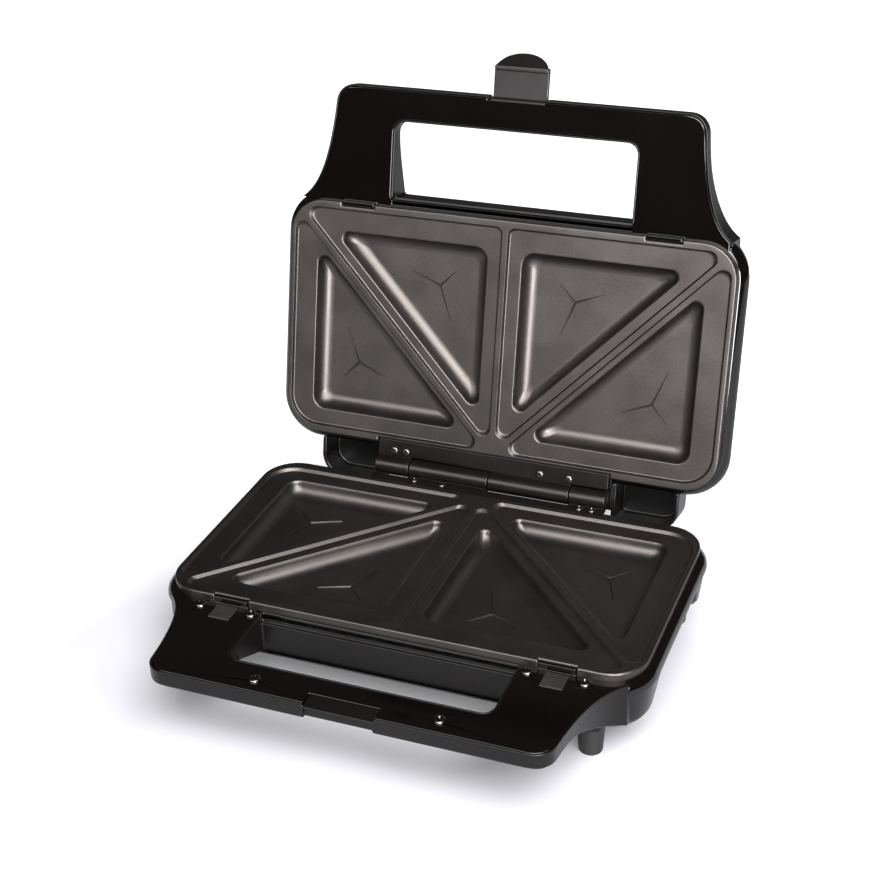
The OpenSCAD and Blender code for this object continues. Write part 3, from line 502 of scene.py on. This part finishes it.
def make_materials(colours):
    """All materials, under the short names that the pieces use."""
    m = {}
    # Gloss-moulded ABS: a mirror skin with the slight waviness of a polished tool
    m["gloss"] = moulded("gloss_moulded_abs", colours.gloss, "#0d0908", 30, (0.07, 0.11), 14, 0.012)
    # Glass-filled polyamide from a spark-eroded tool: fine grain that scatters the light to satin
    m["satin"] = moulded("spark_grained_polyamide", colours.satin, "#171413", 25, (0.27, 0.34), 0.5, 0.02, 0.27)
    # Smoother tool finish on the clip, with the same faint grain
    m["clip"] = moulded("satin_moulded_clip", colours.clip, "#1e1a19", 12, (0.30, 0.38), 0.4, 0.012)
    # Cured silicone pads: dull, slightly dusty
    m["pad"] = moulded("cured_silicone", "#151211", "#1d1918", 4, (0.65, 0.78), 0.3, 0.02)
    # Moulded rubber feet: dark and matt
    m["rubber"] = moulded("moulded_rubber", "#161515", "#1f1e1d", 5, (0.55, 0.7), 0.4, 0.02)
    # Sprayed non-stick coat on cast aluminium
    m["coat"] = coated_plate("nonstick_coated_casting", colours.plate_dark, colours.plate_light)
    # Steel leaves in baked black paint
    m["hinge"] = moulded("baked_black_steel", "#100c0a", "#181310", 8, (0.28, 0.36), 0.6, 0.01, 0.32)
    # Black-zinc screws: dark steel that still glints on its facets
    m["zinc"] = metal("black_zinc_steel", "#4d4845", "#6e6864", (0.18, 0.3), 0.5, 0.006)
    # Aluminised sheet: pale spangle
    m["shield"] = metal("aluminised_sheet", "#9a9a98", "#b4b4b1", (0.3, 0.42), 3, 0.01)
    # Sheathed element: heat-browned steel
    m["element"] = metal("heat_browned_sheath", "#4a4440", "#625a54", (0.45, 0.6), 2, 0.01)
    # Pressed steatite: chalky white
    m["ceramic"] = moulded("pressed_steatite", "#d9d3c6", "#e6e1d6", 3, (0.6, 0.75), 0.4, 0.02)
    # Thermostat's phenolic body
    m["phenolic"] = moulded("phenolic_body", "#8a6f4b", "#9a7e58", 4, (0.45, 0.55), 0.5, 0.01)
    # Fibreglass sleeve of the fuse
    m["sleeve"] = moulded("fibreglass_sleeve", "#dddad2", "#ebe8e0", 1, (0.6, 0.75), 0.3, 0.03)
    # Ground steel pins
    m["pin"] = metal("ground_steel", "#a5a29e", "#bcb9b4", (0.2, 0.28), 0.8, 0.003)
    # Neon glass
    m["neon"] = moulded("lamp_glass", "#b8623c", "#c87048", 2, (0.05, 0.1), 4, 0.002)
    # Polycarbonate lenses
    m["red"] = moulded("red_polycarbonate", "#7a0f0c", "#8c1612", 3, (0.06, 0.1), 3, 0.003)
    m["green"] = moulded("green_polycarbonate", "#0e5a22", "#146a2b", 3, (0.06, 0.1), 3, 0.003)
    STATE["materials"] = m


# ---- Pieces ----


def plate_bmesh(wing, cutback):
    """Casting as one skin: rolled rim, lands behind a crisp step, pockets whose walls sweep into the floor."""
    bm = bmesh.new()
    outer = [ring(bm, plate_outline(RIM_EDGE_R * (1 - s), wing, cutback), RIM_EDGE_R * t)
             for s, t in quarter(EDGE_STEPS)]
    outer.append(ring(bm, plate_outline(0, wing, cutback), SKIRT_H + 0.6))
    bridge(bm, outer)
    land_tops = []
    for side in (0, 1):
        for flip in (False, True):
            step = [ring(bm, land(side, m), depth, flip) for m, depth in LAND_STEP]
            land_tops.append(step[0])
            bridge(bm, step)
            wall = [ring(bm, pocket(side, -POCKET_EDGE_R * (1 - s)), LAND_DROP + POCKET_EDGE_R * t, flip)
                    for s, t in quarter(EDGE_STEPS)]
            for i in range(SWEEP_STEPS + 1):
                a = math.pi / 2 * i / SWEEP_STEPS
                m = SWEEP_START + SWEEP_R * (1 - math.cos(a))
                wall.append(ring(bm, pocket(side, m), POCKET_DEPTH - SWEEP_R + SWEEP_R * math.sin(a), flip))
            bridge(bm, wall)
            fill(bm, step[-1], wall[0])
            bm.faces.new(wall[-1])
    fill(bm, outer[0], *land_tops)
    return bm


def star_bmesh():
    """Three tapering blades with a crowned ridge on each pocket floor."""
    bm = bmesh.new()
    for cx, cy, turn in STAR_PLACES:
        for flip in (1, -1):
            for blade in STAR_BLADES:
                d = Vector(blade) * turn
                u = d.normalized()
                s = Vector((-u.y, u.x)) * STAR_HALF_W
                foot = [d, s, -u * 0.8, -s]
                crest = [d * 0.97, s * 0.2, -u * 0.4, -s * 0.2]
                loops = [
                    [bm.verts.new((flip * (cx + p[0]), cy + p[1], POCKET_DEPTH + sunk)) for p in outline]
                    for outline, sunk in ((foot, STAR_SUNK), (foot, -STAR_EDGE), (crest, -STAR_CREST))
                ]
                bridge(bm, loops)
                bm.faces.new(loops[-1])
    return bm


def make_plate(name, matrix, body, node, toward, wing, cutback):
    """Cast plate of one half, which stands for its CAD node, and its stars."""
    bm = plate_bmesh(wing, cutback)
    place(bm, matrix)
    obj = new_object(name, bm, "coat", body, toward)
    m = obj.modifiers.new("casting wall", "SOLIDIFY")
    m.thickness = WALL_T * MM
    m.offset = -1.0
    apply_modifiers(obj)
    even_shading(obj, 60)
    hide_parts(node)
    bm = star_bmesh()
    place(bm, matrix)
    stars = new_object(name + "_stars", bm, "coat", body)
    shade(stars, 20)


def circle(bm, r, z):
    """Loop round a screw head."""
    angles = [2 * math.pi * k / HEAD_FACETS for k in range(HEAD_FACETS)]
    return [bm.verts.new((r * math.cos(a), r * math.sin(a), z)) for a in angles]


def cross(bm, arm, half, z):
    """Loop round a cross recess with arms of a length and half width."""
    points = []
    for q in range(4):
        c, s = math.cos(q * math.pi / 2), math.sin(q * math.pi / 2)
        for x, y in ((arm, -half), (arm, half), (half, half)):
            points.append((x * c - y * s, x * s + y * c))
    return [bm.verts.new((x, y, z)) for x, y in points]


def screw_mesh(radius, height):
    """Cross-head of a pan screw, standing on z = 0, in metres."""
    bm = bmesh.new()
    loops = []
    for i in range(6):
        a = math.pi / 2 * i / 5
        r = radius * (0.45 + 0.55 * math.cos(a)) if i else radius
        loops.append(circle(bm, r, height * (0.3 + 0.7 * math.sin(a))))
    base = circle(bm, radius, 0)
    bridge(bm, [base] + loops)
    mouth = cross(bm, radius * 0.42, radius * 0.115, height)
    deep = cross(bm, radius * 0.24, radius * 0.08, height * 0.35)
    fill(bm, loops[-1], mouth)
    bridge(bm, [mouth, deep])
    bm.faces.new(deep)
    bm.faces.new(base[::-1])
    bm.transform(Matrix.Scale(MM, 4))
    bmesh.ops.recalc_face_normals(bm, faces=bm.faces)
    mesh = bpy.data.meshes.new("screw_head")
    bm.to_mesh(mesh)
    bm.free()
    mesh.shade_smooth()
    mesh.set_sharp_from_angle(angle=math.radians(40))
    return mesh


def screw_group():
    """Node group that sets a screw on every point, each turned by its own chance angle."""
    g = bpy.data.node_groups.new("set_screws", "GeometryNodeTree")
    face = g.interface
    face.new_socket("Geometry", in_out="INPUT", socket_type="NodeSocketGeometry")
    for label, kind in (("Screw", "NodeSocketObject"), ("Tilt", "NodeSocketFloat"), ("Seed", "NodeSocketInt"),
                        ("Material", "NodeSocketMaterial")):
        face.new_socket(label, in_out="INPUT", socket_type=kind)
    face.new_socket("Geometry", in_out="OUTPUT", socket_type="NodeSocketGeometry")
    n, l = g.nodes, g.links
    start, end = n.new("NodeGroupInput"), n.new("NodeGroupOutput")
    info = n.new("GeometryNodeObjectInfo")
    chance = n.new("FunctionNodeRandomValue")
    turn = n.new("ShaderNodeCombineXYZ")
    spin = n.new("GeometryNodeInstanceOnPoints")
    tilt = n.new("ShaderNodeCombineXYZ")
    lean = n.new("GeometryNodeRotateInstances")
    real = n.new("GeometryNodeRealizeInstances")
    paint = n.new("GeometryNodeSetMaterial")
    chance.data_type = "FLOAT"
    chance.inputs[2].default_value = 0.0
    chance.inputs[3].default_value = math.pi / 2
    l.new(start.outputs["Seed"], chance.inputs["Seed"])
    l.new(start.outputs["Screw"], info.inputs["Object"])
    l.new(start.outputs["Geometry"], spin.inputs["Points"])
    l.new(info.outputs["Geometry"], spin.inputs["Instance"])
    l.new(start.outputs["Tilt"], tilt.inputs["X"])
    l.new(tilt.outputs["Vector"], spin.inputs["Rotation"])
    l.new(chance.outputs[1], turn.inputs["Z"])
    l.new(spin.outputs["Instances"], lean.inputs["Instances"])
    l.new(turn.outputs["Vector"], lean.inputs["Rotation"])
    l.new(lean.outputs["Instances"], real.inputs["Geometry"])
    l.new(real.outputs["Geometry"], paint.inputs["Geometry"])
    l.new(start.outputs["Material"], paint.inputs["Material"])
    l.new(paint.outputs["Geometry"], end.inputs["Geometry"])
    return g


def set_screws(name, places, matrix, tilt, head_size, body, node, seed):
    """Screw heads at the places (x, y, depth of the face they sit on), as one plain mesh."""
    head = link(bpy.data.objects.new(name + "_head", screw_mesh(*head_size)))
    mesh = bpy.data.meshes.new(name)
    mesh.from_pydata([(Matrix.Scale(MM, 4) @ matrix @ Vector(p)).to_tuple() for p in places], [], [])
    obj = link(bpy.data.objects.new(name, mesh))
    if "screw_group" not in STATE:
        STATE["screw_group"] = screw_group()
    group = STATE["screw_group"]
    m = obj.modifiers.new("set screws", "NODES")
    m.node_group = group
    values = {"Screw": head, "Tilt": tilt, "Seed": seed, "Material": STATE["materials"]["zinc"]}
    for item in group.interface.items_tree:
        if item.in_out == "INPUT" and item.name in values:
            m[item.identifier] = values[item.name]
    apply_modifiers(obj)
    bpy.data.objects.remove(head)
    finish_piece(obj, "zinc", body)
    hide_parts(node)


# ---- Sizes and colours a user would change ----


class ToasterSizes(bpy.types.PropertyGroup):
    """Edge softness of the pieces."""

    casing_edge: bpy.props.FloatProperty(
        name="Casing edge", description="Radius on the casings' moulded edges", default=0.9 * MM,
        min=0.2 * MM, max=2 * MM, unit="LENGTH")
    trim_edge: bpy.props.FloatProperty(
        name="Trim edge", description="Radius on the glossy trim's edges", default=0.5 * MM,
        min=0.1 * MM, max=1 * MM, unit="LENGTH")


class ToasterColours(bpy.types.PropertyGroup):
    """Colours of the mouldings and plates, as sRGB hex strings."""

    gloss: bpy.props.StringProperty(
        name="Gloss trim", description="Colour of the glossy trim", default="#090605")
    satin: bpy.props.StringProperty(name="Satin casing", description="Colour of the casings", default="#100d0c")
    clip: bpy.props.StringProperty(name="Latch clip", description="Colour of the clip", default="#171413")
    plate_dark: bpy.props.StringProperty(
        name="Plate, dark", description="Darker tone of the coat", default="#403c3a")
    plate_light: bpy.props.StringProperty(
        name="Plate, light", description="Lighter tone of the coat", default="#5a5654")


class PieceOperator:
    """What all the building steps share"""

    bl_options = {"REGISTER", "UNDO"}


class TOASTER_OT_plates(PieceOperator, bpy.types.Operator):
    """Builds the two cast plates with their stars"""

    bl_idname = "toaster.plates"
    bl_label = "Cast plates"

    def execute(self, context):
        make_plate("lower_cast_plate", IN_BASE, "base", "lower_plate", (0, 0, 1), WING, WING)
        make_plate("upper_cast_plate", IN_LID, "lid", "upper_plate", (0, -1, 0.2), 0, HINGE_CUTBACK)
        return {"FINISHED"}


class TOASTER_OT_trims(PieceOperator, bpy.types.Operator):
    """Builds the two glossy trim frames"""

    bl_idname = "toaster.trims"
    bl_label = "Trim frames"

    def execute(self, context):
        edge = context.scene.toaster_sizes.trim_edge / MM
        soft_copy("lower_trim_frame", "lower_trim", "gloss", "base", edge)
        soft_copy("upper_trim_frame", "upper_trim", "gloss", "lid", edge)
        return {"FINISHED"}


class TOASTER_OT_casings(PieceOperator, bpy.types.Operator):
    """Builds the two casings"""

    bl_idname = "toaster.casings"
    bl_label = "Casings"

    def execute(self, context):
        edge = context.scene.toaster_sizes.casing_edge / MM
        soft_copy("lower_casing", "lower_shell", "satin", "base", edge)
        soft_copy("upper_casing", "upper_shell", "satin", "lid", edge,
                  filled=("power_lens", "ready_lens"))
        return {"FINISHED"}


class TOASTER_OT_screws(PieceOperator, bpy.types.Operator):
    """Sets the cross-head screws of the base trim and the hinge"""

    bl_idname = "toaster.screws"
    bl_label = "Screws"

    def execute(self, context):
        trim = [(s * x, y, SKIRT_H) for s in (-1, 1) for x, y in TRIM_SCREWS]
        set_screws("trim_screw_heads", trim, IN_BASE, 0.0, TRIM_HEAD, "base", "lower_trim_screws", 4)
        y = HINGE_Y - BARREL_R - 2.7
        low = [(-x, y, LEAF_FACE) for x in LONG_SCREWS] + [(x, y, LEAF_FACE) for x in SHORT_SCREWS]
        set_screws("lower_leaf_screw_heads", low, IN_BASE, 0.0, LEAF_HEAD, "base", "lower_hinge_screws", 7)
        y = REAR + 4.0
        high = [(x + 3, y, LEAF_FACE) for x in LONG_SCREWS] + [(3.5 - x, y, LEAF_FACE) for x in SHORT_SCREWS]
        set_screws(
            "upper_leaf_screw_heads", high, IN_LID, LID_TILT, LEAF_HEAD, "lid", "upper_hinge_screws", 9)
        return {"FINISHED"}


class TOASTER_OT_hinge(PieceOperator, bpy.types.Operator):
    """Builds the hinge leaves"""

    bl_idname = "toaster.hinge"
    bl_label = "Hinge"

    def execute(self, context):
        soft_copy("lower_hinge_leaf", "lower_leaf", "hinge", "base", LEAF_EDGE, LEAF_SHORTEST)
        soft_copy("upper_hinge_leaf", "upper_leaf", "hinge", "lid", LEAF_EDGE, LEAF_SHORTEST)
        return {"FINISHED"}


class TOASTER_OT_latch(PieceOperator, bpy.types.Operator):
    """Builds the latch clip"""

    bl_idname = "toaster.latch"
    bl_label = "Latch clip"

    def execute(self, context):
        soft_copy("latch_clip", "clip", "clip", "latch", CLIP_EDGE)
        return {"FINISHED"}


class TOASTER_OT_feet_pads(PieceOperator, bpy.types.Operator):
    """Builds the feet and the square buffer pads"""

    bl_idname = "toaster.feet_pads"
    bl_label = "Feet and pads"

    def execute(self, context):
        soft_copy("buffer_pads", "square_pads", "pad", "base", PAD_EDGE)
        soft_copy("front_feet", "front_rubber_feet", "rubber", "base", FOOT_EDGE)
        soft_copy("rear_feet", "rear_rubber_feet", "rubber", "base", FOOT_EDGE)
        return {"FINISHED"}


class TOASTER_OT_inner(PieceOperator, bpy.types.Operator):
    """Gives the parts inside the casings their materials"""

    bl_idname = "toaster.inner"
    bl_label = "Inner parts"

    def execute(self, context):
        looks = {
            "heat_shield": "shield", "heating_element": "element", "element_supports": "ceramic",
            "plate_screws": "zinc", "thermostat": "phenolic", "thermal_fuse": "sleeve",
            "terminal_block": "ceramic", "cord_inlet_bush": "rubber", "hinge_pin": "pin", "latch_pin": "pin",
            "power_lens": "red", "ready_lens": "green", "neon": "neon",
        }
        for name, node in STATE["frame"]["nodes"].items():
            for key, material in looks.items():
                if name.endswith(key):
                    for s in node.material_slots:
                        s.link = "OBJECT"
                        s.material = STATE["materials"][material]
        return {"FINISHED"}


class TOASTER_OT_stage(PieceOperator, bpy.types.Operator):
    """Sets the camera, the pale floor and the studio lights"""

    bl_idname = "toaster.stage"
    bl_label = "Stage"

    def execute(self, context):
        make_camera()
        make_floor()
        make_lights()
        make_world()
        return {"FINISHED"}


def make_camera():
    """Camera that frames the part as it stands open."""
    data = bpy.data.cameras.new("camera")
    data.sensor_width = SENSOR_MM
    data.lens = FOCAL_MM
    data.dof.use_dof = False
    cam = link(bpy.data.objects.new("camera", data))
    at = Vector((CAM_PLACE[0], CAM_PLACE[1] - MIDDLE_Y, CAM_PLACE[2] + RIM_HEIGHT)) * MM
    rows = [(CAM_RIGHT[i], CAM_UP[i], CAM_BACK[i], at[i]) for i in range(3)]
    cam.matrix_world = Matrix((*rows, (0, 0, 0, 1)))
    bpy.context.scene.camera = cam


def make_floor():
    """Round sheet of white paper. To the eye and in gloss it turns plain white away from the object."""
    bm = bmesh.new()
    bmesh.ops.create_circle(bm, cap_ends=True, segments=64, radius=PAPER_R)
    mesh = bpy.data.meshes.new("floor")
    bm.to_mesh(mesh)
    bm.free()
    floor = link(bpy.data.objects.new("floor", mesh))
    mat, tree, shader = new_material("studio_paper")
    shader.inputs["Base Color"].default_value = rgb("#e8e8ef")
    shader.inputs["Roughness"].default_value = 0.9
    shader.inputs["Specular IOR Level"].default_value = 0.1
    coord = nd(tree, "ShaderNodeTexCoord")
    far = nd(tree, "ShaderNodeVectorMath", {"operation": "DISTANCE", 1: GLOW_CENTRE},
             {0: coord.outputs["Object"]})
    glow = remap(tree, far.outputs["Value"], GLOW_FROM, GLOW_TO, GLOW_LOW, 1.0)
    path = nd(tree, "ShaderNodeLightPath")
    gloss = combine(tree, "MULTIPLY", path.outputs["Is Glossy Ray"], GLOSS_SHARE)
    seen = combine(tree, "MAXIMUM", path.outputs["Is Camera Ray"], gloss)
    seen = combine(tree, "MAXIMUM", seen, path.outputs["Is Transmission Ray"])
    lift = combine(tree, "MULTIPLY", seen, glow.outputs["Result"])
    shader.inputs["Emission Color"].default_value = (1, 1, 1, 1)
    tree.links.new(lift, shader.inputs["Emission Strength"])
    mesh.materials.append(mat)


def area_light(name, at, aim, size, power, lights_paper):
    """Soft box. One that doesn't light the paper only shows in the satin and gloss of the pieces."""
    data = bpy.data.lights.new(name, "AREA")
    data.shape = "RECTANGLE"
    data.size, data.size_y = size
    data.energy = power
    obj = link(bpy.data.objects.new(name, data))
    obj.location = at
    obj.rotation_euler = (Vector(aim) - Vector(at)).to_track_quat("-Z", "Y").to_euler()
    obj.visible_diffuse = lights_paper


def make_lights():
    """The studio's soft boxes."""
    for box in LIGHTS:
        area_light(*box)


def make_world():
    """White to the camera, dim to everything else."""
    world = bpy.data.worlds.new("studio")
    bpy.context.scene.world = world
    world.use_nodes = True
    tree = world.node_tree
    background = tree.nodes["Background"]
    path = nd(tree, "ShaderNodeLightPath")
    background.inputs["Color"].default_value = (1, 1, 1, 1)
    soft = combine(tree, "MULTIPLY", path.outputs["Is Diffuse Ray"], WORLD_DIFFUSE)
    dim = combine(tree, "ADD", soft, WORLD_AMBIENT)
    level = combine(tree, "MAXIMUM", path.outputs["Is Camera Ray"], dim)
    tree.links.new(level, background.inputs["Strength"])


class TOASTER_PT_panel(bpy.types.Panel):
    """Lists the pieces"""

    bl_label = "Toaster"
    bl_idname = "TOASTER_PT_panel"
    bl_space_type = "VIEW_3D"
    bl_region_type = "UI"
    bl_category = "Toaster"

    def draw(self, context):
        layout = self.layout
        for group in (context.scene.toaster_sizes, context.scene.toaster_colours):
            for key in group.__annotations__:
                layout.prop(group, key)
        for op in PIECES:
            layout.operator(op.bl_idname)


PIECES = (TOASTER_OT_plates, TOASTER_OT_trims, TOASTER_OT_casings, TOASTER_OT_screws, TOASTER_OT_hinge,
          TOASTER_OT_latch, TOASTER_OT_feet_pads, TOASTER_OT_inner, TOASTER_OT_stage)
CLASSES = (ToasterSizes, ToasterColours, *PIECES, TOASTER_PT_panel)


def register():
    """Adds the classes and the settings to Blender."""
    for c in CLASSES:
        bpy.utils.register_class(c)
    bpy.types.Scene.toaster_sizes = bpy.props.PointerProperty(type=ToasterSizes)
    bpy.types.Scene.toaster_colours = bpy.props.PointerProperty(type=ToasterColours)


def unregister():
    """Takes them out again."""
    del bpy.types.Scene.toaster_colours
    del bpy.types.Scene.toaster_sizes
    for c in reversed(CLASSES):
        bpy.utils.unregister_class(c)


def main():
    """Builds every piece over the frame, and the stage round it."""
    register()
    STATE["frame"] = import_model()
    make_materials(bpy.context.scene.toaster_colours)
    bpy.context.scene.view_settings.view_transform = "Standard"
    for op in PIECES:
        group, name = op.bl_idname.split(".")
        getattr(getattr(bpy.ops, group), name)()


if __name__ == "__main__":
    main()
